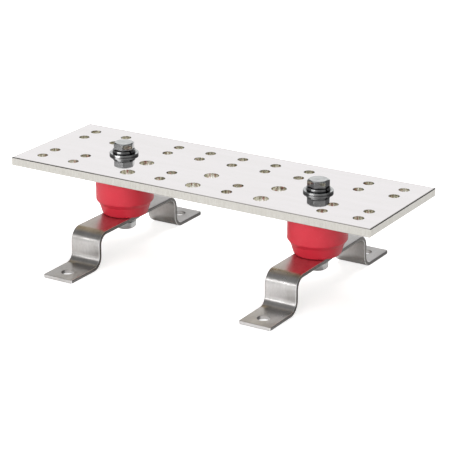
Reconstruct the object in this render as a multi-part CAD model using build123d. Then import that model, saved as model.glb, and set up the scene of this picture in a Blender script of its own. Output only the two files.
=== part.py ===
from build123d import *
from math import cos, radians, tan
import os

# Rack grounding busbar: a drilled copper bar on two standoff insulators, each
# bolted to a hat-shaped strip bracket. Sizes are in millimetres. X runs along the
# bar to its right end, Y to the back and Z up. The origin is the middle of the
# footprint, on the plane that the feet stand on.

# Copper bar
bar_length = 304.8
bar_width = 101.6
bar_thickness = 6.35
bar_corner_radius = 0.8
bar_edge_break = 0.35
bar_bolt_hole_diameter = 11.1

# Lug holes: pairs that run across the bar, in columns along it
column_pitch = 28.575
middle_columns = 5
end_columns = 2
end_margin = 17.4625
lug_edge_distance = 15.875
small_hole_diameter = 7.94
small_hole_pitch = 15.875
large_hole_diameter = 11.11
large_hole_pitch = 25.4

# Standoff insulators: a drum with a wide band round its middle
insulator_spacing = 168.275
insulator_height = 39.7
band_diameter = 44.2
band_height = 17.4
band_edge_radius = 0.7
shoulder_diameter = 39.4
shoulder_drop = 3.2
shoulder_radius = 1.2
end_diameter = 34.6
rim_radius = 1.3

# Threaded inserts moulded into both ends of an insulator
insert_across_flats = 13.5
insert_neck_diameter = 11.8
insert_neck_length = 4.0
insert_floor = 1.0
core_thickness = 6.5
mould_clearance = 0.05

# Hat-shaped brackets, bent from strip
strip_width = 25.4
strip_thickness = 2.8
bracket_span = 177.8
bridge_length = 106.0
bridge_height = 27.5
inside_bend_radius = 7.0
foot_corner_radius = 1.2
strip_edge_break = 0.2
foot_hole_diameter = 9.525
foot_hole_to_tip = 12.7
bridge_hole_diameter = 10.3

# Hex bolts
bolt_diameter = 9.525
hex_across_flats = 14.29
head_height = 5.5
head_flat_diameter = 13.4
head_chamfer_angle = 30.0
washer_face_height = 0.4
washer_face_diameter = 13.6
shank_tip_chamfer = 0.8
thread_clearance = 0.05
upper_tip_room = 0.6
lower_tip_room = 3.4
upper_head_turns = {"left": -5.2, "right": -23.4}
lower_head_turns = {"left": 25.1, "right": 31.3}

# Washers
flat_washer_diameter = 22.2
flat_washer_bore = 10.3
flat_washer_thickness = 1.65
flat_washer_edge_break = 0.35
lock_washer_diameter = 17.2
lock_washer_bore = 9.75
lock_washer_thickness = 2.4
lock_washer_edge_break = 0.3
lock_washer_split = 1.0
lock_washer_split_lean = 35.0
upper_split_turns = {"left": -20.0, "right": -18.0}
lower_split_turns = {"left": 150.0, "right": 150.0}

foot_hole_spacing = bracket_span - 2 * foot_hole_to_tip

# Heights of the stack above the ground plane
bridge_underside = bridge_height - strip_thickness
bar_bottom = bridge_height + insulator_height
bar_top = bar_bottom + bar_thickness
lock_washer_bottom = bar_top + flat_washer_thickness
upper_bearing_face = lock_washer_bottom + lock_washer_thickness
lower_bearing_face = bridge_underside - flat_washer_thickness - lock_washer_thickness

# An insert fills what the core between the two leaves it, and each bolt stops
# short of the floor of its insert.
insert_length = (insulator_height - core_thickness) / 2
insert_bore_depth = insert_length - insert_floor
insert_bore_diameter = bolt_diameter + 2 * thread_clearance
upper_grip = upper_bearing_face - bar_bottom
lower_grip = bridge_height - lower_bearing_face
upper_bolt_length = upper_grip + insert_bore_depth - upper_tip_room
lower_bolt_length = lower_grip + insert_bore_depth - lower_tip_room

stations = {"left": -insulator_spacing / 2, "right": insulator_spacing / 2}


def lug_holes():
    """Place and diameter of every lug hole."""
    outer_row = bar_width / 2 - lug_edge_distance
    small_rows = (outer_row, outer_row - small_hole_pitch)
    large_rows = (outer_row, outer_row - large_hole_pitch)

    middle_places = []
    for number in range(middle_columns):
        middle_places.append((number - (middle_columns - 1) / 2) * column_pitch)
    end_places = []
    for number in range(end_columns):
        from_middle = bar_length / 2 - end_margin - number * column_pitch
        end_places += [-from_middle, from_middle]

    holes = []
    for x in middle_places + end_places:
        for y in small_rows:
            holes.append((x, y, small_hole_diameter))
    for x in middle_places[1::2] + end_places:
        for y in small_rows:
            holes.append((x, -y, small_hole_diameter))
    for x in middle_places[0::2]:
        for y in large_rows:
            holes.append((x, -y, large_hole_diameter))
    return holes


def make_busbar():
    """Flat bar with eased edges, drilled for lugs and for the two insulator bolts."""
    with BuildPart() as bar:
        with BuildSketch(Plane.XY.offset(bar_bottom)):
            RectangleRounded(bar_length, bar_width, bar_corner_radius)
        extrude(amount=bar_thickness)
        faces = bar.faces().sort_by(Axis.Z)
        chamfer(faces[0].edges() + faces[-1].edges(), bar_edge_break)

        with BuildSketch(Plane.XY.offset(bar_bottom)):
            for x, y, diameter in lug_holes():
                with Locations((x, y)):
                    Circle(diameter / 2)
            for x in stations.values():
                with Locations((x, 0)):
                    Circle(bar_bolt_hole_diameter / 2)
        extrude(amount=bar_thickness, mode=Mode.SUBTRACT)
    return bar.part


def insert_body(clearance):
    """Hex body with its mouth at the origin and a turned neck half way down."""
    apothem = insert_across_flats / 2 + clearance
    body = extrude(RegularPolygon(apothem, 6, major_radius=False), -insert_length)
    neck = Circle(insert_neck_diameter / 2 + clearance)
    groove = extrude(Circle(2 * apothem) - neck, insert_neck_length)
    return body - Pos(0, 0, -(insert_length + insert_neck_length) / 2) * groove


def make_insert():
    """Threaded insert: the body with a blind bore."""
    bore = extrude(Circle(insert_bore_diameter / 2), -insert_bore_depth)
    return insert_body(0) - bore


def make_insulator():
    """Drum of revolution, alike at both ends, with a pocket for an insert in each."""
    band_edge = (insulator_height - band_height) / 2
    shoulder = band_edge - shoulder_drop
    with BuildPart() as drum:
        with BuildSketch(Plane.XZ):
            with BuildLine():
                Polyline(
                    (0, 0),
                    (end_diameter / 2, 0),
                    (shoulder_diameter / 2, shoulder),
                    (band_diameter / 2, band_edge),
                    (band_diameter / 2, insulator_height - band_edge),
                    (shoulder_diameter / 2, insulator_height - shoulder),
                    (end_diameter / 2, insulator_height),
                    (0, insulator_height),
                    close=True,
                )
            outline = make_face()
            corners = outline.vertices().group_by(Axis.X)
            fillet(corners[1], rim_radius)
            fillet(corners[2], shoulder_radius)
            fillet(corners[3], band_edge_radius)
        revolve(axis=Axis.Z)
    pocket = insert_body(mould_clearance)
    return drum.part - Pos(0, 0, insulator_height) * pocket - Rot(180, 0, 0) * pocket


def make_bracket():
    """Strip bent four times into foot, riser, bridge, riser and foot."""
    outside_bend_radius = inside_bend_radius + strip_thickness
    foot_tip = bracket_span / 2
    riser = bridge_length / 2 - strip_thickness
    with BuildPart() as bracket:
        with BuildSketch(Plane.YZ):
            with BuildLine():
                underside = FilletPolyline(
                    (-foot_tip, 0),
                    (-riser, 0),
                    (-riser, bridge_underside),
                    (riser, bridge_underside),
                    (riser, 0),
                    (foot_tip, 0),
                    radius=[
                        outside_bend_radius,
                        inside_bend_radius,
                        inside_bend_radius,
                        outside_bend_radius,
                    ],
                )
                offset(underside, strip_thickness, side=Side.LEFT)
            make_face()
        extrude(amount=strip_width / 2, both=True)

        uprights = bracket.edges().filter_by(Axis.Z).group_by(Axis.Y)
        fillet(uprights[0] + uprights[-1], foot_corner_radius)
        edges = bracket.edges()
        tips = edges.filter_by(Axis.X).group_by(Axis.Y)
        risers = edges.filter_by(Axis.Z).filter_by_position(
            Axis.Y, -bridge_length / 2, bridge_length / 2
        )
        rims = edges.filter_by(Axis.X, reverse=True).filter_by(Axis.Z, reverse=True)
        chamfer(tips[0] + tips[-1] + risers + rims, strip_edge_break)

        with BuildSketch():
            with Locations((0, -foot_hole_spacing / 2), (0, foot_hole_spacing / 2)):
                Circle(foot_hole_diameter / 2)
            Circle(bridge_hole_diameter / 2)
        extrude(amount=bridge_height, mode=Mode.SUBTRACT)
    return bracket.part


def make_bolt(length, turn):
    """Hex bolt with its bearing face at the origin, head up and shank down."""
    tool_radius = hex_across_flats
    chamfer_fall = (tool_radius - head_flat_diameter / 2) * tan(radians(head_chamfer_angle))
    hexagon = RegularPolygon(hex_across_flats / 2, 6, major_radius=False)
    head = Pos(0, 0, washer_face_height) * extrude(hexagon, head_height - washer_face_height)
    with BuildPart() as chamfer_tool:
        with BuildSketch(Plane.XZ):
            with BuildLine():
                Polyline(
                    (head_flat_diameter / 2, head_height),
                    (tool_radius, head_height),
                    (tool_radius, head_height - chamfer_fall),
                    close=True,
                )
            make_face()
        revolve(axis=Axis.Z)
    washer_face = extrude(Circle(washer_face_diameter / 2), washer_face_height)
    shank = extrude(Circle(bolt_diameter / 2), -length)
    shank = chamfer(shank.edges().group_by(Axis.Z)[0], shank_tip_chamfer)
    return Rot(0, 0, turn) * (head - chamfer_tool.part + washer_face + shank)


def make_flat_washer():
    """Stamped washer, standing on the ground plane, its upper rim eased."""
    disc = extrude(Circle(flat_washer_diameter / 2), flat_washer_thickness)
    disc = chamfer(disc.edges().group_by(Axis.Z)[-1], flat_washer_edge_break)
    return disc - extrude(Circle(flat_washer_bore / 2), flat_washer_thickness)


def make_lock_washer(turn):
    """Spring washer pressed flat, standing on the ground plane, with its slanted split."""
    ring = Circle(lock_washer_diameter / 2) - Circle(lock_washer_bore / 2)
    ring = extrude(ring, lock_washer_thickness)
    ring = chamfer(ring.edges().filter_by(GeomType.CIRCLE), lock_washer_edge_break)
    gap = Box(
        lock_washer_diameter,
        lock_washer_split,
        4 * lock_washer_thickness,
        align=(Align.MIN, Align.CENTER, Align.CENTER),
    )
    gap = Pos(0, 0, lock_washer_thickness / 2) * Rot(lock_washer_split_lean, 0, 0) * gap
    return Rot(0, 0, turn) * (ring - gap)


def make_parts():
    """Every piece in its place, by name."""
    parts = {"busbar": make_busbar()}
    for side, x in stations.items():
        upside_down = Rot(180, 0, 0)
        lower_lock_washer = make_lock_washer(lower_split_turns[side])
        upper_lock_washer = make_lock_washer(upper_split_turns[side])
        upper_bolt = make_bolt(upper_bolt_length, upper_head_turns[side])
        lower_bolt = make_bolt(lower_bolt_length, lower_head_turns[side])
        parts[f"bracket_{side}"] = Pos(x, 0, 0) * make_bracket()
        parts[f"insulator_{side}"] = Pos(x, 0, bridge_height) * make_insulator()
        parts[f"upper_insert_{side}"] = Pos(x, 0, bar_bottom) * make_insert()
        parts[f"lower_insert_{side}"] = Pos(x, 0, bridge_height) * upside_down * make_insert()
        parts[f"upper_flat_washer_{side}"] = Pos(x, 0, bar_top) * make_flat_washer()
        parts[f"upper_lock_washer_{side}"] = Pos(x, 0, lock_washer_bottom) * upper_lock_washer
        parts[f"upper_bolt_{side}"] = Pos(x, 0, upper_bearing_face) * upper_bolt
        parts[f"lower_flat_washer_{side}"] = Pos(x, 0, bridge_underside) * upside_down * make_flat_washer()
        parts[f"lower_lock_washer_{side}"] = Pos(x, 0, lower_bearing_face) * lower_lock_washer
        parts[f"lower_bolt_{side}"] = Pos(x, 0, lower_bearing_face) * upside_down * lower_bolt
    return parts


os.makedirs("parts", exist_ok=True)
for name, solid in make_parts().items():
    export_step(solid, f"parts/{name}.step")
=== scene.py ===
from math import cos, pi, radians, sin, tan

import bmesh
import bpy
from mathutils import Matrix, Vector


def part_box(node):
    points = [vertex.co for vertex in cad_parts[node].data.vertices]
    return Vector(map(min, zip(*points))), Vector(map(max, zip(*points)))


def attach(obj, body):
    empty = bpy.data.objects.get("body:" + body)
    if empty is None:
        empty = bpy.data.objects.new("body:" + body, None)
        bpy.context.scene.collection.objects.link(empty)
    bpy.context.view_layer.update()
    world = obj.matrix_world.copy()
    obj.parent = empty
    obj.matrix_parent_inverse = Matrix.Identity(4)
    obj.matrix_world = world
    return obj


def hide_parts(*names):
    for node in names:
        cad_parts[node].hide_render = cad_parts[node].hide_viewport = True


# Rack grounding busbar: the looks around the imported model. Metres, with X along
# the bar, Y to the back and Z up from the plane that the feet stand on.

MM = 0.001
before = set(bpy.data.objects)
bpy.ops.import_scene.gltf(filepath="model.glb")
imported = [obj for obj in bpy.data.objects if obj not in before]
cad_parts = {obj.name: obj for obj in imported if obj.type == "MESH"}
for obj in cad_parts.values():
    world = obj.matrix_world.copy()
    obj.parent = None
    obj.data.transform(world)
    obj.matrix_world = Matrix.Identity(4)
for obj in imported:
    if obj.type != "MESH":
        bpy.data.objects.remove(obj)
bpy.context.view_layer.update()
bar_low, bar_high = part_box("busbar")
scene = bpy.context.scene
scene.view_settings.view_transform = "Standard"

# The part's own sizes, in millimetres and degrees
STATIONS = {"left": -84.1375, "right": 84.1375}  # the insulators' axes along the bar
BAR_BOTTOM, BAR_TOP = 67.2, 73.55
SMALL_LUG_HOLE, LARGE_LUG_HOLE, BAR_BOLT_HOLE = 7.94, 11.11, 11.1
HOLE_RIM = 0.15
STRIP_WIDTH, STRIP_THICKNESS, INSIDE_BEND = 25.4, 2.8, 7.0
STRIP_TIP, RISER_FACE, BRIDGE_TOP = 88.9, 53.0, 27.5  # places along Y, and a height
FOOT_HOLE, FOOT_HOLE_PLACE, BRIDGE_BOLT_HOLE = 9.525, 76.2, 10.3
STANDOFF_HEIGHT, BAND_HEIGHT, SHOULDER_DROP = 39.7, 17.4, 3.2
BAND, SHOULDER, END = 44.2, 39.4, 34.6  # the standoff's diameters
POCKET_RADIUS, POCKET_DEPTH = 7.9, 16.6
HEX_FLATS, HEAD_HEIGHT, CROWN_FLAT = 14.29, 5.5, 13.4
WASHER_FACE_RADIUS, WASHER_FACE_HEIGHT = 6.8, 0.4
SHANK_RADIUS, SHANK_CHAMFER = 4.7625, 0.8
PLAIN_WASHER = (22.2, 10.3, 1.65)  # outside, bore and thickness
SPRING_WASHER = (17.2, 9.75, 2.4)
SPLIT_WIDTH, SPLIT_SLANT = 1.0, 35.0
TOLERANCE = 0.01  # how near a corner counts as being at a place

# Where the stacks of pieces sit, how far the bolts reach into the standoffs, and how the
# heads and the washers' splits are turned
UPPER_SPRING_BASE = BAR_TOP + PLAIN_WASHER[2]
UPPER_BEARING = UPPER_SPRING_BASE + SPRING_WASHER[2]
BRIDGE_UNDERSIDE = BRIDGE_TOP - STRIP_THICKNESS
LOWER_BEARING = BRIDGE_UNDERSIDE - PLAIN_WASHER[2] - SPRING_WASHER[2]
UPPER_REACH, LOWER_REACH = 15.0, 12.2
UPPER_LENGTH = UPPER_BEARING - BAR_BOTTOM + UPPER_REACH
LOWER_LENGTH = BRIDGE_TOP - LOWER_BEARING + LOWER_REACH
UPPER_TURNS = {"left": -5.2, "right": -23.4}
LOWER_TURNS = {"left": 25.1, "right": 31.3}
UPPER_SPLITS = {"left": -20.0, "right": -18.0}
LOWER_SPLIT = 150


# Finishes
def linear(hex_code):
    """sRGB hex to the linear colour that shaders take."""
    parts = [int(hex_code[i:i + 2], 16) / 255 for i in (0, 2, 4)]
    return (*[p / 12.92 if p <= 0.04045 else ((p + 0.055) / 1.055) ** 2.4 for p in parts], 1.0)


def feed(tree, node, inputs):
    """Fills a node's inputs, each with a number, a hex colour, another node or its socket."""
    for name, value in inputs.items():
        if isinstance(value, bpy.types.Node):
            value = next(socket for socket in value.outputs if socket.enabled)
        if isinstance(value, bpy.types.NodeSocket):
            tree.links.new(value, node.inputs[name])
        else:
            node.inputs[name].default_value = linear(value) if isinstance(value, str) else value


def add(tree, kind, inputs, **settings):
    """Adds one shader node with its settings and inputs."""
    node = tree.nodes.new("ShaderNode" + kind)
    for name, setting in settings.items():
        setattr(node, name, setting)
    feed(tree, node, inputs)
    return node


def new_finish(name):
    """Empty finish with its shader, and the coordinates of each point."""
    finish = bpy.data.materials.new(name)
    finish.use_nodes = True
    tree = finish.node_tree
    return finish, tree, tree.nodes["Principled BSDF"], add(tree, "TexCoord", {}).outputs


def per_mm(*sizes):
    """Scale of a pattern whose grains have these sizes along X, Y and Z."""
    return [1 / (size * MM) for size in sizes]


def tin_plate():
    """Electroplated bright tin on rolled copper bar: nearly a mirror on the faces, duller for
    the last 2 mm before the edges, rougher and a little yellower on the sawn edges, streaky
    where the drill went through, and painted a darker brown below as painted shade. The top
    corner is a ragged line of painted shade, dark on the left and pale on the right."""
    finish, tree, shader, point = new_finish("bright_tin_plate")
    where = add(tree, "SeparateXYZ", {"Vector": point["Object"]}).outputs
    facing = add(tree, "SeparateXYZ", {"Vector": point["Normal"]}).outputs

    # Upright surfaces are sawn edges near the outline and the holes' walls further in.
    outline_zone = 3 * MM
    tilt = add(tree, "Math", {0: facing["Z"]}, operation="ABSOLUTE")
    upright = add(tree, "MapRange", {"Value": tilt, "From Min": 0.85, "From Max": 0.4})
    along = add(tree, "Math", {0: where["X"]}, operation="ABSOLUTE")
    across = add(tree, "Math", {0: where["Y"]}, operation="ABSOLUTE")
    from_end = add(tree, "Math", {0: bar_high.x, 1: along}, operation="SUBTRACT")
    from_side = add(tree, "Math", {0: bar_high.y, 1: across}, operation="SUBTRACT")
    from_edge = add(tree, "Math", {0: from_end, 1: from_side}, operation="MINIMUM")
    inside = add(tree, "Math", {0: from_edge, 1: outline_zone}, operation="GREATER_THAN")
    drilled = add(tree, "Math", {0: upright, 1: inside}, operation="MULTIPLY")

    # The marks of the rolls, the saw and the drill are a few tenths of a millimetre wide,
    # which is too fine to show. They are drawn 9, 1.3 and 1.2 mm wide.
    rolled = add(tree, "Mapping", {"Vector": point["Object"], "Scale": per_mm(70, 9, 9)})
    rolled = add(tree, "TexNoise", {"Vector": rolled, "Scale": 1.0, "Detail": 3.0})
    sawn = add(tree, "Mapping", {"Vector": point["Object"], "Scale": per_mm(1.3, 1.3, 6)})
    sawn = add(tree, "TexNoise", {"Vector": sawn, "Scale": 1.0, "Detail": 3.0})
    streaks = add(tree, "Mapping", {"Vector": point["Object"], "Scale": per_mm(1.2, 1.2, 6)})
    streaks = add(tree, "TexNoise", {"Vector": streaks, "Scale": 1.0, "Detail": 2.0})
    streaks = add(tree, "MapRange", {"Value": streaks, "From Min": 0.35, "From Max": 0.65})

    rim_start, rim_full = 1.8 * MM, 0.3 * MM
    faces = add(tree, "Mix", {"Factor": rolled, "A": "F4F0F2", "B": "ECE9E8"}, data_type="RGBA")
    # Painted shade: faces turned downwards are painted a darker brown.
    underside_painted_shade = add(tree, "MapRange", {"Value": facing["Z"], "From Min": -0.5, "From Max": -0.9})
    faces = add(tree, "Mix", {"Factor": underside_painted_shade, "A": faces, "B": "C0B298"}, data_type="RGBA")
    rim = add(tree, "MapRange", {"Value": from_edge, "From Min": rim_start, "From Max": rim_full})
    faces = add(tree, "Mix", {"Factor": rim, "A": faces, "B": "C4C0BC"}, data_type="RGBA")
    edges = add(tree, "Mix", {"Factor": sawn, "A": "E7E5E0", "B": "C8C4BB"}, data_type="RGBA")
    walls = add(tree, "Mix", {"Factor": streaks, "A": "FFFEF8", "B": "B4B09A"}, data_type="RGBA")
    colour = add(tree, "Mix", {"Factor": upright, "A": faces, "B": edges}, data_type="RGBA")
    colour = add(tree, "Mix", {"Factor": drilled, "A": colour, "B": walls}, data_type="RGBA")

    # The corner line of painted shade narrows and clears from left to right, and 5 mm chips fray it.
    wide_until, dark_until, narrow_and_pale_from = -0.1, -0.09, 0.03
    widest, narrowest, chip_depth = 0.4 * MM, 0.25 * MM, 0.2 * MM
    from_top = add(tree, "Math", {0: bar_high.z, 1: where["Z"]}, operation="SUBTRACT")
    from_corner = add(tree, "Math", {0: from_edge, 1: from_top}, operation="ADD")
    reach = add(tree, "MapRange", {"Value": where["X"], "To Min": widest, "To Max": narrowest,
                                   "From Min": wide_until, "From Max": narrow_and_pale_from})
    chips = add(tree, "Mapping", {"Vector": point["Object"], "Scale": per_mm(5, 5, 5)})
    chips = add(tree, "TexNoise", {"Vector": chips, "Scale": 1.0, "Detail": 3.0})
    reach = add(tree, "Math", {0: chips, 1: chip_depth, 2: reach}, operation="MULTIPLY_ADD")
    broken = add(tree, "Math", {0: from_corner, 1: reach}, operation="LESS_THAN")
    corner_shade_fades = add(tree, "MapRange", {"Value": where["X"], "From Min": dark_until,
                                   "From Max": narrow_and_pale_from})
    # Painted shade along the top corner: near black on the left, fading to pale grey on the right.
    corner_painted_shade = add(tree, "Mix", {"Factor": corner_shade_fades, "A": "24211E", "B": "DAD7D2"}, data_type="RGBA")
    colour = add(tree, "Mix", {"Factor": broken, "A": colour, "B": corner_painted_shade}, data_type="RGBA")

    polish = add(tree, "MapRange", {"Value": rolled, "From Min": 0.3, "From Max": 0.7,
                                    "To Min": 0.04, "To Max": 0.08})
    polish = add(tree, "Math", {0: upright, 1: 0.14, 2: polish}, operation="MULTIPLY_ADD")
    kerf = add(tree, "Math", {0: upright, 1: sawn}, operation="MULTIPLY")
    relief = add(tree, "Bump", {"Height": kerf, "Distance": 0.02 * MM, "Strength": 1.0})
    feed(tree, shader, {"Base Color": colour, "Metallic": 1.0, "Roughness": polish, "Normal": relief})
    return finish


def moulded_polyester():
    """Glass-filled polyester pressed in a polished mould: satin red, with a faint cloud of
    filler and short fibres that lighten the skin here and there."""
    finish, tree, shader, point = new_finish("moulded_red_polyester")
    cloud = add(tree, "Mapping", {"Vector": point["Object"], "Scale": per_mm(9, 9, 6)})
    cloud = add(tree, "TexNoise", {"Vector": cloud, "Scale": 1.0, "Detail": 4.0})
    # Real fibres are hundredths of a millimetre thick. They are drawn 0.3 mm thick to show.
    fibres = add(tree, "Mapping", {"Vector": point["Object"], "Scale": per_mm(0.9, 0.9, 0.3)})
    fibres = add(tree, "TexNoise", {"Vector": fibres, "Scale": 1.0, "Detail": 2.0})
    shown = add(tree, "MapRange", {"Value": fibres, "From Min": 0.6, "From Max": 0.8, "To Max": 0.35})
    colour = add(tree, "Mix", {"Factor": cloud, "A": "CC2636", "B": "DA2E42"}, data_type="RGBA")
    colour = add(tree, "Mix", {"Factor": shown, "A": colour, "B": "E45A6A"}, data_type="RGBA")
    satin = add(tree, "MapRange", {"Value": cloud, "From Min": 0.3, "From Max": 0.7,
                                   "To Min": 0.38, "To Max": 0.48})
    relief = add(tree, "Bump", {"Height": fibres, "Distance": 0.012 * MM, "Strength": 1.0})
    feed(tree, shader, {"Base Color": colour, "IOR": 1.54, "Roughness": satin, "Normal": relief})
    return finish


def rolled_stainless():
    """Cold-rolled stainless strip: satin, with fine lines along the rolling direction, faint
    stains and scuffs from the press, and dull, darker cut sides. The lips where the shear
    rolled the corners over carry a painted highlight on each strip's right side and painted
    shade on its left. The right strip is painted a little brighter than the left one, as
    painted light."""
    finish, tree, shader, point = new_finish("rolled_stainless_strip")
    where = add(tree, "SeparateXYZ", {"Vector": point["Object"]}).outputs
    facing = add(tree, "SeparateXYZ", {"Vector": point["Normal"]}).outputs

    # The offset is measured to the right from the middle of the strip that a point is on.
    lip_start, lip_full = 12.1 * MM, 12.3 * MM
    half = add(tree, "Math", {0: where["X"]}, operation="SIGN")
    right_strip_painted_light = add(tree, "Math", {0: where["X"], 1: 0.0}, operation="GREATER_THAN")
    offset = add(tree, "Math", {0: half, 1: STATIONS["left"] * MM, 2: where["X"]},
                 operation="MULTIPLY_ADD")
    right_side = add(tree, "Math", {0: offset, 1: 0.0}, operation="GREATER_THAN")
    sideways = add(tree, "Math", {0: facing["X"]}, operation="ABSOLUTE")
    sheared = add(tree, "MapRange", {"Value": sideways, "From Min": 0.8, "From Max": 0.95})
    face = add(tree, "MapRange", {"Value": sideways, "From Min": 0.95, "From Max": 0.8})
    lip = add(tree, "Math", {0: offset}, operation="ABSOLUTE")
    lip = add(tree, "MapRange", {"Value": lip, "From Min": lip_start, "From Max": lip_full})
    lip = add(tree, "Math", {0: lip, 1: face}, operation="MULTIPLY")

    # The rolling lines are hundredths of a millimetre wide. They are drawn 0.4 mm wide to show.
    lines = add(tree, "Mapping", {"Vector": point["Object"], "Scale": per_mm(0.4, 50, 50)})
    lines = add(tree, "TexNoise", {"Vector": lines, "Scale": 1.0, "Detail": 3.0})
    stains = add(tree, "Mapping", {"Vector": point["Object"], "Scale": per_mm(11, 17, 17)})
    stains = add(tree, "TexNoise", {"Vector": stains, "Scale": 1.0, "Detail": 5.0})
    scuffs = add(tree, "Mapping", {"Vector": point["Object"], "Scale": per_mm(1.5, 2.5, 2.5)})
    scuffs = add(tree, "TexNoise", {"Vector": scuffs, "Scale": 1.0, "Detail": 2.0})
    torn = add(tree, "Mapping", {"Vector": point["Object"], "Scale": per_mm(0.6, 0.6, 0.6)})
    torn = add(tree, "TexNoise", {"Vector": torn, "Scale": 1.0, "Detail": 2.0})

    tone = add(tree, "Math", {0: lines, 1: 0.3, 2: stains}, operation="MULTIPLY_ADD")
    tone = add(tree, "Math", {0: scuffs, 1: 0.5, 2: tone}, operation="MULTIPLY_ADD")
    tone = add(tree, "MapRange", {"Value": tone, "From Min": 0.6, "From Max": 1.2, "To Max": 0.7})
    # Painted light: the right strip's tone is raised so that it reads a little brighter than the left.
    tone = add(tree, "Math", {0: right_strip_painted_light, 1: 0.3, 2: tone}, operation="MULTIPLY_ADD")
    colour = add(tree, "Mix", {"Factor": tone, "A": "B8B5B2", "B": "DCDAD9"}, data_type="RGBA")
    cut = add(tree, "Mix", {"Factor": torn, "A": "646260", "B": "807E7C"}, data_type="RGBA")
    colour = add(tree, "Mix", {"Factor": sheared, "A": colour, "B": cut}, data_type="RGBA")
    # The lips get a painted highlight on each strip's right side and painted shade on its left.
    lip_painted_highlight_and_shade = add(tree, "Mix", {"Factor": right_side, "A": "5C5A59", "B": "F4F4F3"}, data_type="RGBA")
    colour = add(tree, "Mix", {"Factor": lip, "A": colour, "B": lip_painted_highlight_and_shade}, data_type="RGBA")
    satin = add(tree, "MapRange", {"Value": tone, "To Min": 0.32, "To Max": 0.27})
    satin = add(tree, "Math", {0: sheared, 1: 0.12, 2: satin}, operation="MULTIPLY_ADD")
    relief = add(tree, "Bump", {"Height": lines, "Distance": 0.0025 * MM, "Strength": 1.0})
    feed(tree, shader, {"Base Color": colour, "Metallic": 1.0, "Roughness": satin, "Normal": relief})
    return finish


def tumbled_steel(name, filmed, clear):
    """Formed fasteners, tumbled bright: sharp reflections with a grey film from the forming
    dies, and painted shade that darkens the corners. Cold-headed stainless is pale, and the
    hardened steel of the spring washers is darker."""
    finish, tree, shader, point = new_finish(name)
    film = add(tree, "Mapping", {"Vector": point["Object"], "Scale": per_mm(3, 3, 3)})
    film = add(tree, "TexNoise", {"Vector": film, "Scale": 1.0, "Detail": 5.0})
    dents = add(tree, "Mapping", {"Vector": point["Object"], "Scale": per_mm(1.2, 1.2, 0.5)})
    dents = add(tree, "TexNoise", {"Vector": dents, "Scale": 1.0, "Detail": 2.0})
    tone = add(tree, "MapRange", {"Value": film, "From Min": 0.3, "From Max": 0.7})
    colour = add(tree, "Mix", {"Factor": tone, "A": filmed, "B": clear}, data_type="RGBA")
    # Painted shade: corners and crevices that occlusion finds are darkened towards 2E3031.
    occlusion = add(tree, "AmbientOcclusion", {"Distance": 2 * MM}, samples=8).outputs["AO"]
    painted_crevice_shade = add(tree, "MapRange", {"Value": occlusion, "From Min": 0.4, "From Max": 0.9})
    colour = add(tree, "Mix", {"Factor": painted_crevice_shade, "A": "2E3031", "B": colour}, data_type="RGBA")
    shine = add(tree, "MapRange", {"Value": tone, "To Min": 0.18, "To Max": 0.1})
    relief = add(tree, "Bump", {"Height": dents, "Distance": 0.005 * MM, "Strength": 1.0})
    feed(tree, shader, {"Base Color": colour, "Metallic": 1.0, "Roughness": shine, "Normal": relief})
    return finish


def turned_brass():
    """Free-cutting brass, turned on a bar lathe: yellow, with fine tool rings."""
    finish, tree, shader, point = new_finish("turned_brass")
    # A lathe feeds about 0.1 mm a turn. The rings are drawn 0.25 mm apart to show.
    rings = add(tree, "Mapping", {"Vector": point["Object"], "Scale": per_mm(6, 6, 0.25)})
    rings = add(tree, "TexNoise", {"Vector": rings, "Scale": 1.0, "Detail": 2.0})
    colour = add(tree, "Mix", {"Factor": rings, "A": "B98F3F", "B": "D0AA5C"}, data_type="RGBA")
    shine = add(tree, "MapRange", {"Value": rings, "From Min": 0.3, "From Max": 0.7,
                                   "To Min": 0.24, "To Max": 0.36})
    relief = add(tree, "Bump", {"Height": rings, "Distance": 0.01 * MM, "Strength": 1.0})
    feed(tree, shader, {"Base Color": colour, "Metallic": 1.0, "Roughness": shine, "Normal": relief})
    return finish


# Shapes
def close_up(shape):
    """Joins what meets and turns every face outwards."""
    bmesh.ops.remove_doubles(shape, verts=shape.verts, dist=0.0005 * MM)
    bmesh.ops.recalc_face_normals(shape, faces=shape.faces)
    return shape


def ease(shape, width, segments, which=lambda edge: True):
    """Rounds the corners sharper than 17 degrees that a test picks."""
    sharp = [edge for edge in shape.edges
             if edge.is_manifold and edge.calc_face_angle() > radians(17) and which(edge)]
    bmesh.ops.bevel(shape, geom=sharp, offset=width * MM, offset_type="OFFSET", segments=segments,
                    profile=0.5, affect="EDGES", material=-1)
    return shape


def turn_shape(shape, angle, axis="Z"):
    """Turns a shape about an axis through the origin."""
    bmesh.ops.rotate(shape, verts=shape.verts, cent=(0, 0, 0), matrix=Matrix.Rotation(angle, 3, axis))


def spun(outline, steps=96):
    """Solid of revolution about Z from its (radius, height) outline in millimetres."""
    shape = bmesh.new()
    corners = [shape.verts.new((radius * MM, 0, height * MM)) for radius, height in outline]
    runs = [shape.edges.new(ends) for ends in zip(corners, corners[1:])]
    if outline[0][0] > 0:
        runs.append(shape.edges.new((corners[-1], corners[0])))
    bmesh.ops.spin(shape, geom=corners + runs, cent=(0, 0, 0), axis=(0, 0, 1), angle=2 * pi,
                   steps=steps, use_merge=True)
    bmesh.ops.dissolve_degenerate(shape, dist=0.0005 * MM, edges=shape.edges)
    return close_up(shape)


def to_object(name, shape):
    """Puts a shape in the scene and frees its bmesh."""
    mesh = bpy.data.meshes.new(name)
    shape.to_mesh(mesh)
    shape.free()
    obj = bpy.data.objects.new(name, mesh)
    scene.collection.objects.link(obj)
    return obj


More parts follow.
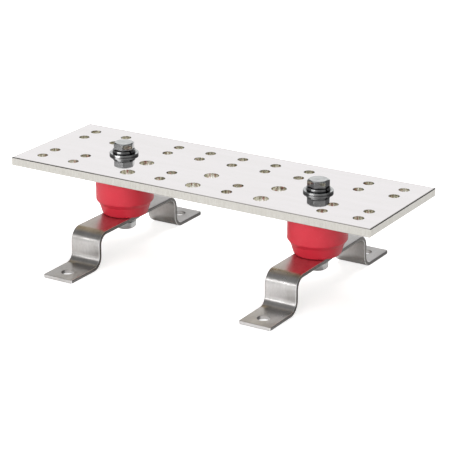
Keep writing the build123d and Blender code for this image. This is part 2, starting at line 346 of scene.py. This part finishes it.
def combine(shape, other, operation):
    """Union or difference of two shapes, worked in millimetres: in metres the solver takes
    corners of a small part for one corner."""
    for each in (shape, other):
        bmesh.ops.scale(each, verts=each.verts, vec=[1 / MM] * 3)
    work, tool = to_object("work", shape), to_object("tool", other)
    cut = work.modifiers.new("cut", "BOOLEAN")
    cut.operation = operation
    cut.solver = "EXACT"
    cut.object = tool
    evaluated = work.evaluated_get(bpy.context.evaluated_depsgraph_get())
    result = bmesh.new()
    result.from_mesh(evaluated.data)
    for obj in (work, tool):
        bpy.data.objects.remove(obj)
    bmesh.ops.scale(result, verts=result.verts, vec=[MM] * 3)
    return close_up(result)


def drill(shape, holes, low, high):
    """Drills round holes with rounded rims between two heights: holes are (x, y, diameter).
    The faces are first cut along the rows and columns, so that no face has a hole in it. Each
    rim starts a little outside the face, because one that starts in it leaves slivers."""
    clearance, outside, sides = 0.03, 1, 64
    for axis, direction in enumerate(((1, 0, 0), (0, 1, 0))):
        for line in sorted({hole[axis] for hole in holes}):
            bmesh.ops.bisect_plane(shape, geom=shape.verts[:] + shape.edges[:] + shape.faces[:],
                                   plane_co=[part * line * MM for part in direction],
                                   plane_no=direction)
    tools = bmesh.new()
    for x, y, diameter in holes:
        mouth = diameter / 2 + HOLE_RIM
        rim = [(mouth - HOLE_RIM * cos(turn), HOLE_RIM * (1 - sin(turn)) - clearance)
               for turn in (pi / 2, pi / 3, pi / 6, 0)]
        tool = spun([(0, low - outside), (mouth, low - outside),
                     *[(radius, low + depth) for radius, depth in rim],
                     *[(radius, high - depth) for radius, depth in reversed(rim)],
                     (mouth, high + outside), (0, high + outside)], steps=sides)
        turn_shape(tool, pi / sides)
        bmesh.ops.translate(tool, verts=tool.verts, vec=(x * MM, y * MM, 0))
        mesh = bpy.data.meshes.new("drill")
        tool.to_mesh(mesh)
        tool.free()
        tools.from_mesh(mesh)
        bpy.data.meshes.remove(mesh)
    return combine(shape, tools, "DIFFERENCE")


def lies(edge, axis):
    """Whether an edge runs along an axis."""
    return abs((edge.verts[1].co - edge.verts[0].co).normalized()[axis]) > 0.99


def lug_holes():
    """Place and diameter of every lug hole, in the part's own rows and columns."""
    pitch, last_column = 28.575, 134.9375
    outer_row, small_row, large_row = 34.925, 19.05, 9.525
    middle_columns = [number * pitch for number in range(-2, 3)]
    end_columns = [side * (last_column - number * pitch) for number in range(2) for side in (-1, 1)]
    holes = [(x, y, SMALL_LUG_HOLE)
             for x in middle_columns + end_columns for y in (outer_row, small_row)]
    holes += [(x, -y, SMALL_LUG_HOLE)
              for x in middle_columns[1::2] + end_columns for y in (outer_row, small_row)]
    holes += [(x, -y, LARGE_LUG_HOLE) for x in middle_columns[0::2] for y in (outer_row, large_row)]
    return holes


def drilled_bar():
    """Bar with its corners broken, most on the sawn ends, and deburred holes."""
    plate = bmesh.new()
    bmesh.ops.create_cube(plate, size=1)
    bmesh.ops.scale(plate, verts=plate.verts, vec=bar_high - bar_low)
    bmesh.ops.translate(plate, verts=plate.verts, vec=(bar_low + bar_high) / 2)
    ease(plate, width=0.6, segments=1, which=lambda edge: lies(edge, 1))
    ease(plate, width=0.3, segments=1, which=lambda edge: lies(edge, 0) or lies(edge, 2))
    holes = lug_holes() + [(station, 0, BAR_BOLT_HOLE) for station in STATIONS.values()]
    return drill(plate, holes, BAR_BOTTOM, BAR_TOP)


def bent_strip():
    """Strip swept through its four bends, with sheared edges, then punched."""
    outside_bend = INSIDE_BEND + STRIP_THICKNESS
    foot = STRIP_TIP - RISER_FACE - INSIDE_BEND
    riser = BRIDGE_TOP - 2 * outside_bend
    bridge = 2 * (RISER_FACE - outside_bend)
    edge_x = STRIP_WIDTH / 2
    shape = bmesh.new()
    corners = ((-edge_x, 0), (edge_x, 0), (edge_x, STRIP_THICKNESS), (-edge_x, STRIP_THICKNESS))
    corners = [shape.verts.new((x * MM, -STRIP_TIP * MM, z * MM)) for x, z in corners]
    section = [shape.edges.new(ends) for ends in zip(corners, corners[1:] + corners[:1])]

    def run(y, z):
        """Carries the section straight on."""
        made = bmesh.ops.extrude_edge_only(shape, edges=section)["geom"]
        carried = {item for item in made if isinstance(item, bmesh.types.BMVert)}
        bmesh.ops.translate(shape, verts=list(carried), vec=(0, y * MM, z * MM))
        section[:] = [edge for edge in shape.edges if carried.issuperset(edge.verts)]

    def bend(y, z, quarter):
        """Carries the section round a quarter circle."""
        geometry = section + list(dict.fromkeys(corner for edge in section for corner in edge.verts))
        made = bmesh.ops.spin(shape, geom=geometry, cent=(0, y * MM, z * MM), axis=(1, 0, 0),
                              angle=quarter * pi / 2, steps=16)["geom_last"]
        section[:] = [item for item in made if isinstance(item, bmesh.types.BMEdge)]

    foot_bend, top_bend = RISER_FACE + INSIDE_BEND, RISER_FACE - outside_bend
    run(foot, 0)
    bend(-foot_bend, outside_bend, 1)
    run(0, riser)
    bend(-top_bend, BRIDGE_TOP - outside_bend, -1)
    run(bridge, 0)
    bend(top_bend, BRIDGE_TOP - outside_bend, -1)
    run(0, -riser)
    bend(foot_bend, outside_bend, 1)
    run(foot, 0)
    bmesh.ops.holes_fill(shape, edges=[edge for edge in shape.edges if edge.is_boundary], sides=4)
    close_up(shape)

    tip = (STRIP_TIP - TOLERANCE) * MM
    ease(shape, width=1.2, segments=6, which=lambda edge: (
        lies(edge, 2) and abs(edge.verts[0].co.y) > tip))
    ease(shape, width=0.4, segments=4)
    foot_holes = [(0, -FOOT_HOLE_PLACE, FOOT_HOLE), (0, FOOT_HOLE_PLACE, FOOT_HOLE)]
    shape = drill(shape, foot_holes, 0, STRIP_THICKNESS)
    return drill(shape, [(0, 0, BRIDGE_BOLT_HOLE)], BRIDGE_UNDERSIDE, BRIDGE_TOP)


def standoff():
    """Drum of revolution with its band, and a pocket for an insert in each end."""
    shoulder = (STANDOFF_HEIGHT - BAND_HEIGHT) / 2 - SHOULDER_DROP
    half = [(0, POCKET_DEPTH), (POCKET_RADIUS, POCKET_DEPTH), (POCKET_RADIUS, 0), (END / 2, 0),
            (SHOULDER / 2, shoulder), (BAND / 2, shoulder + SHOULDER_DROP)]
    other_half = [(radius, STANDOFF_HEIGHT - height) for radius, height in reversed(half)]
    shape = spun(half + other_half, steps=128)

    def beyond(edge, radius):
        """Whether a whole edge lies outside a radius."""
        return min(corner.co.xy.length for corner in edge.verts) > radius * MM

    def at_an_end(edge):
        """Whether an edge lies nearer to an end than to a shoulder."""
        return not shoulder / 2 * MM < edge.verts[0].co.z < (STANDOFF_HEIGHT - shoulder / 2) * MM

    outside_pocket, at_shoulders = 10, SHOULDER / 2 - TOLERANCE
    ease(shape, width=0.95, segments=5,
         which=lambda edge: beyond(edge, outside_pocket) and at_an_end(edge))
    return ease(shape, width=0.3, segments=4, which=lambda edge: beyond(edge, at_shoulders))


def hex_bolt(length):
    """Hex head with a chamfered crown and a washer face, on its shank."""
    corner = HEX_FLATS / 2 / cos(pi / 6)
    head = bmesh.new()
    bmesh.ops.create_cone(head, cap_ends=True, segments=6, radius1=corner * MM,
                          radius2=corner * MM, depth=(HEAD_HEIGHT - WASHER_FACE_HEIGHT) * MM)
    turn_shape(head, pi / 6)
    bmesh.ops.translate(head, verts=head.verts,
                        vec=(0, 0, (HEAD_HEIGHT + WASHER_FACE_HEIGHT) / 2 * MM))

    flat, reach, slope, above = CROWN_FLAT / 2, HEX_FLATS, tan(radians(30)), 0.5
    crown = spun([(flat - above / slope, HEAD_HEIGHT + above), (reach, HEAD_HEIGHT + above),
                  (reach, HEAD_HEIGHT - (reach - flat) * slope)])
    head = combine(head, crown, "DIFFERENCE")

    overlap = 0.3
    inside_head = WASHER_FACE_HEIGHT + overlap
    shank = spun([(0, -length), (SHANK_RADIUS - SHANK_CHAMFER, -length),
                  (SHANK_RADIUS, SHANK_CHAMFER - length), (SHANK_RADIUS, 0),
                  (WASHER_FACE_RADIUS, 0), (WASHER_FACE_RADIUS, inside_head), (0, inside_head)])
    return ease(combine(head, shank, "UNION"), width=0.14, segments=2)


def ring(outside, bore, thickness):
    """Flat ring from its diameters and its thickness."""
    return spun([(bore / 2, 0), (outside / 2, 0), (outside / 2, thickness), (bore / 2, thickness)])


def plain_washer():
    """Blanked washer: rounded on the side the punch came from, sharp on the other."""
    punched_side = (PLAIN_WASHER[2] - TOLERANCE) * MM
    return ease(ring(*PLAIN_WASHER), width=0.35, segments=5, which=lambda edge: (
        min(corner.co.z for corner in edge.verts) > punched_side))


def spring_washer():
    """Coiled square wire pressed flat, with its slanted split."""
    outside, _, thickness = SPRING_WASHER
    wire = ease(ring(*SPRING_WASHER), width=0.4, segments=4)
    gap = bmesh.new()
    bmesh.ops.create_cube(gap, size=1)
    bmesh.ops.scale(gap, verts=gap.verts,
                    vec=(outside * MM, SPLIT_WIDTH * MM, 4 * thickness * MM))
    bmesh.ops.translate(gap, verts=gap.verts, vec=(outside / 2 * MM, 0, 0))
    turn_shape(gap, radians(SPLIT_SLANT), "X")
    bmesh.ops.translate(gap, verts=gap.verts, vec=(0, 0, thickness / 2 * MM))
    return combine(wire, gap, "DIFFERENCE")


# Pieces
def finish_piece(name, shape, node, finish, station=0, height=0, turn=0, flip=False):
    """Sets a shape in its place as the piece that stands for a CAD node."""
    turn_shape(shape, radians(turn))
    if flip:
        turn_shape(shape, pi, "X")
    bmesh.ops.translate(shape, verts=shape.verts, vec=(station * MM, 0, height * MM))
    piece = to_object(name, shape)
    piece.data.shade_smooth()
    piece.data.set_sharp_from_angle(angle=radians(38))
    level = piece.modifiers.new("flat_faces_stay_flat", "WEIGHTED_NORMAL")
    level.keep_sharp = True
    piece.data.materials.append(finish)
    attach(piece, "root")
    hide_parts(node)


tin, polyester, strip_steel, brass = tin_plate(), moulded_polyester(), rolled_stainless(), turned_brass()
bolt_steel = tumbled_steel("cold_headed_stainless", "B8BABA", "CCCECE")
spring_steel = tumbled_steel("coiled_spring_steel", "868888", "A0A2A2")
finish_piece("drilled_bar", drilled_bar(), "busbar", tin)
for side, station in STATIONS.items():
    finish_piece(f"bent_strip_{side}", bent_strip(), f"bracket_{side}",
                 strip_steel, station)
    finish_piece(f"standoff_{side}", standoff(), f"insulator_{side}",
                 polyester, station, BRIDGE_TOP)
    finish_piece(f"upper_hex_bolt_{side}", hex_bolt(UPPER_LENGTH), f"upper_bolt_{side}",
                 bolt_steel, station, UPPER_BEARING, UPPER_TURNS[side])
    finish_piece(f"lower_hex_bolt_{side}", hex_bolt(LOWER_LENGTH), f"lower_bolt_{side}",
                 bolt_steel, station, LOWER_BEARING, LOWER_TURNS[side], flip=True)
    finish_piece(f"upper_plain_washer_{side}", plain_washer(), f"upper_flat_washer_{side}",
                 bolt_steel, station, BAR_TOP)
    finish_piece(f"lower_plain_washer_{side}", plain_washer(), f"lower_flat_washer_{side}",
                 bolt_steel, station, BRIDGE_UNDERSIDE, flip=True)
    finish_piece(f"upper_spring_washer_{side}", spring_washer(), f"upper_lock_washer_{side}",
                 spring_steel, station, UPPER_SPRING_BASE, UPPER_SPLITS[side])
    finish_piece(f"lower_spring_washer_{side}", spring_washer(), f"lower_lock_washer_{side}",
                 spring_steel, station, LOWER_BEARING, LOWER_SPLIT)
    for insert in ("upper_insert", "lower_insert"):
        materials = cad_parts[f"{insert}_{side}"].data.materials
        materials.clear()
        materials.append(brass)


# Studio. The levels are the room's brightness by the sine of the angle above the horizon. The
# table glows for the camera, and in reflections in a pool and, more weakly, in front of it.
FRONT_LEVELS = [(-1, 0.95), (0.0, 0.9), (0.12, 0.8), (0.35, 0.75), (0.5, 0.25), (1, 0.22)]
BACK_LEVELS = [(-1, 0.92), (0.0, 0.92), (0.37, 0.96), (0.46, 0.15), (0.68, 0.2), (0.78, 0.95), (1, 0.9)]
TABLE_GLOW, POOL_GLOW, FRONT_GLOW = 0.7, 0.4, 0.12
LAMPS_AIM = Vector((0, 0, 0.05))
CAMERA_PLACE = (0.695876, -1.118985, 0.510833)
CAMERA_TURN = (70.0326, 0.0651, 31.6424)
FOCAL_PIXELS, PICTURE_PIXELS = 1883.19, 450


def studio_world():
    """Room that is white up to 20 degrees above the table and dark above that, with a white
    sweep again from 50 degrees up at the back. It dims to the right and at the far left. The
    camera sees plain white."""
    world = bpy.data.worlds.new("studio")
    scene.world = world
    world.use_nodes = True
    tree = world.node_tree
    tree.nodes.clear()
    way = add(tree, "TexCoord", {}).outputs["Generated"]
    way = add(tree, "SeparateXYZ", {"Vector": way}).outputs
    height = add(tree, "MapRange", {"Value": way["Z"], "From Min": -1.0})
    levels = []
    for stops in (FRONT_LEVELS, BACK_LEVELS):
        ramp = add(tree, "ValToRGB", {"Fac": height})
        elements = ramp.color_ramp.elements
        while len(elements) < len(stops):
            elements.new(0.5)
        for element, (sine, level) in zip(elements, stops):
            element.position = (sine + 1) / 2
            element.color = (level, level, level, 1)
        levels.append(ramp)
    behind = add(tree, "MapRange", {"Value": way["Y"], "From Min": -0.1, "From Max": 0.3})
    room = add(tree, "Mix", {"Factor": behind, "A": levels[0], "B": levels[1]}, data_type="RGBA")

    right_front = add(tree, "MapRange", {"Value": way["X"], "From Min": 0.05, "From Max": 0.5,
                                         "To Min": 1.0, "To Max": 0.45})
    right_behind = add(tree, "MapRange", {"Value": way["X"], "From Min": -0.2, "From Max": 0.2,
                                          "To Min": 1.0, "To Max": 0.15})
    left = add(tree, "MapRange", {"Value": way["X"], "From Min": -0.75, "From Max": -0.62,
                                  "To Min": 0.3, "To Max": 1.0})
    strength = add(tree, "Mix", {"Factor": behind, "A": right_front, "B": right_behind})
    strength = add(tree, "Math", {0: strength, 1: left}, operation="MULTIPLY")
    tent = add(tree, "Background", {"Color": room, "Strength": strength})
    white = add(tree, "Background", {"Color": "FFFFFF"})
    seen = add(tree, "LightPath", {}).outputs["Is Camera Ray"]
    add(tree, "OutputWorld", {"Surface": add(tree, "MixShader", {0: seen, 1: tent, 2: white})})


def lamp(name, place, size, watts, mirrored=True):
    """Soft box that looks at the object, and shows in its reflections or only lights it."""
    data = bpy.data.lights.new(name, "AREA")
    data.shape = "RECTANGLE"
    data.size, data.size_y = size
    data.energy = watts
    obj = bpy.data.objects.new(name, data)
    obj.location = place
    obj.rotation_euler = (LAMPS_AIM - Vector(place)).to_track_quat("-Z", "Y").to_euler()
    obj.visible_glossy = mirrored
    scene.collection.objects.link(obj)


def floor():
    """Pale table that keeps the shadow and is white to the camera. In reflections it glows in
    a pool in front of the bar, more weakly towards the camera, and not at all under the bar."""
    mesh = bpy.data.meshes.new("table")
    shape = bmesh.new()
    bmesh.ops.create_grid(shape, x_segments=1, y_segments=1, size=6.0)
    shape.to_mesh(mesh)
    shape.free()
    table = bpy.data.objects.new("table", mesh)
    scene.collection.objects.link(table)
    material = bpy.data.materials.new("white_table")
    material.use_nodes = True
    tree = material.node_tree
    tree.nodes.clear()
    card = add(tree, "BsdfDiffuse", {"Color": "E6E6E6"})
    path = add(tree, "LightPath", {}).outputs
    place = add(tree, "TexCoord", {}).outputs["Object"]
    place = add(tree, "SeparateXYZ", {"Vector": place}).outputs
    pool = add(tree, "MapRange", {"Value": place["Y"], "From Min": -0.045, "From Max": -0.065,
                                  "To Max": POOL_GLOW})
    fall = add(tree, "MapRange", {"Value": place["Y"], "From Min": -0.1, "From Max": -0.2,
                                  "To Max": POOL_GLOW - FRONT_GLOW})
    pool = add(tree, "Math", {0: pool, 1: fall}, operation="SUBTRACT")
    mirrored = add(tree, "Math", {0: path["Is Glossy Ray"], 1: pool}, operation="MULTIPLY")
    glow = add(tree, "Math", {0: path["Is Camera Ray"], 1: TABLE_GLOW, 2: mirrored},
               operation="MULTIPLY_ADD")
    light = add(tree, "Emission", {"Color": "FFFFFF", "Strength": glow})
    add(tree, "OutputMaterial", {"Surface": add(tree, "AddShader", {0: card, 1: light})})
    mesh.materials.append(material)


def camera():
    """The photograph's viewpoint, found from the bar's corners and holes."""
    data = bpy.data.cameras.new("camera")
    data.lens = FOCAL_PIXELS / PICTURE_PIXELS * data.sensor_width
    obj = bpy.data.objects.new("camera", data)
    scene.collection.objects.link(obj)
    obj.location = CAMERA_PLACE
    obj.rotation_euler = [radians(angle) for angle in CAMERA_TURN]
    scene.camera = obj


studio_world()
floor()
lamp("key", place=(-0.627, -1.569, 0.55), size=(1.27, 0.14), watts=2.2)
lamp("front", place=(0.0, -1.75, 0.60), size=(1.6, 1.0), watts=21.0, mirrored=False)
lamp("overhead", place=(-0.20, 0.60, 1.45), size=(1.2, 1.0), watts=20.5, mirrored=False)
camera()
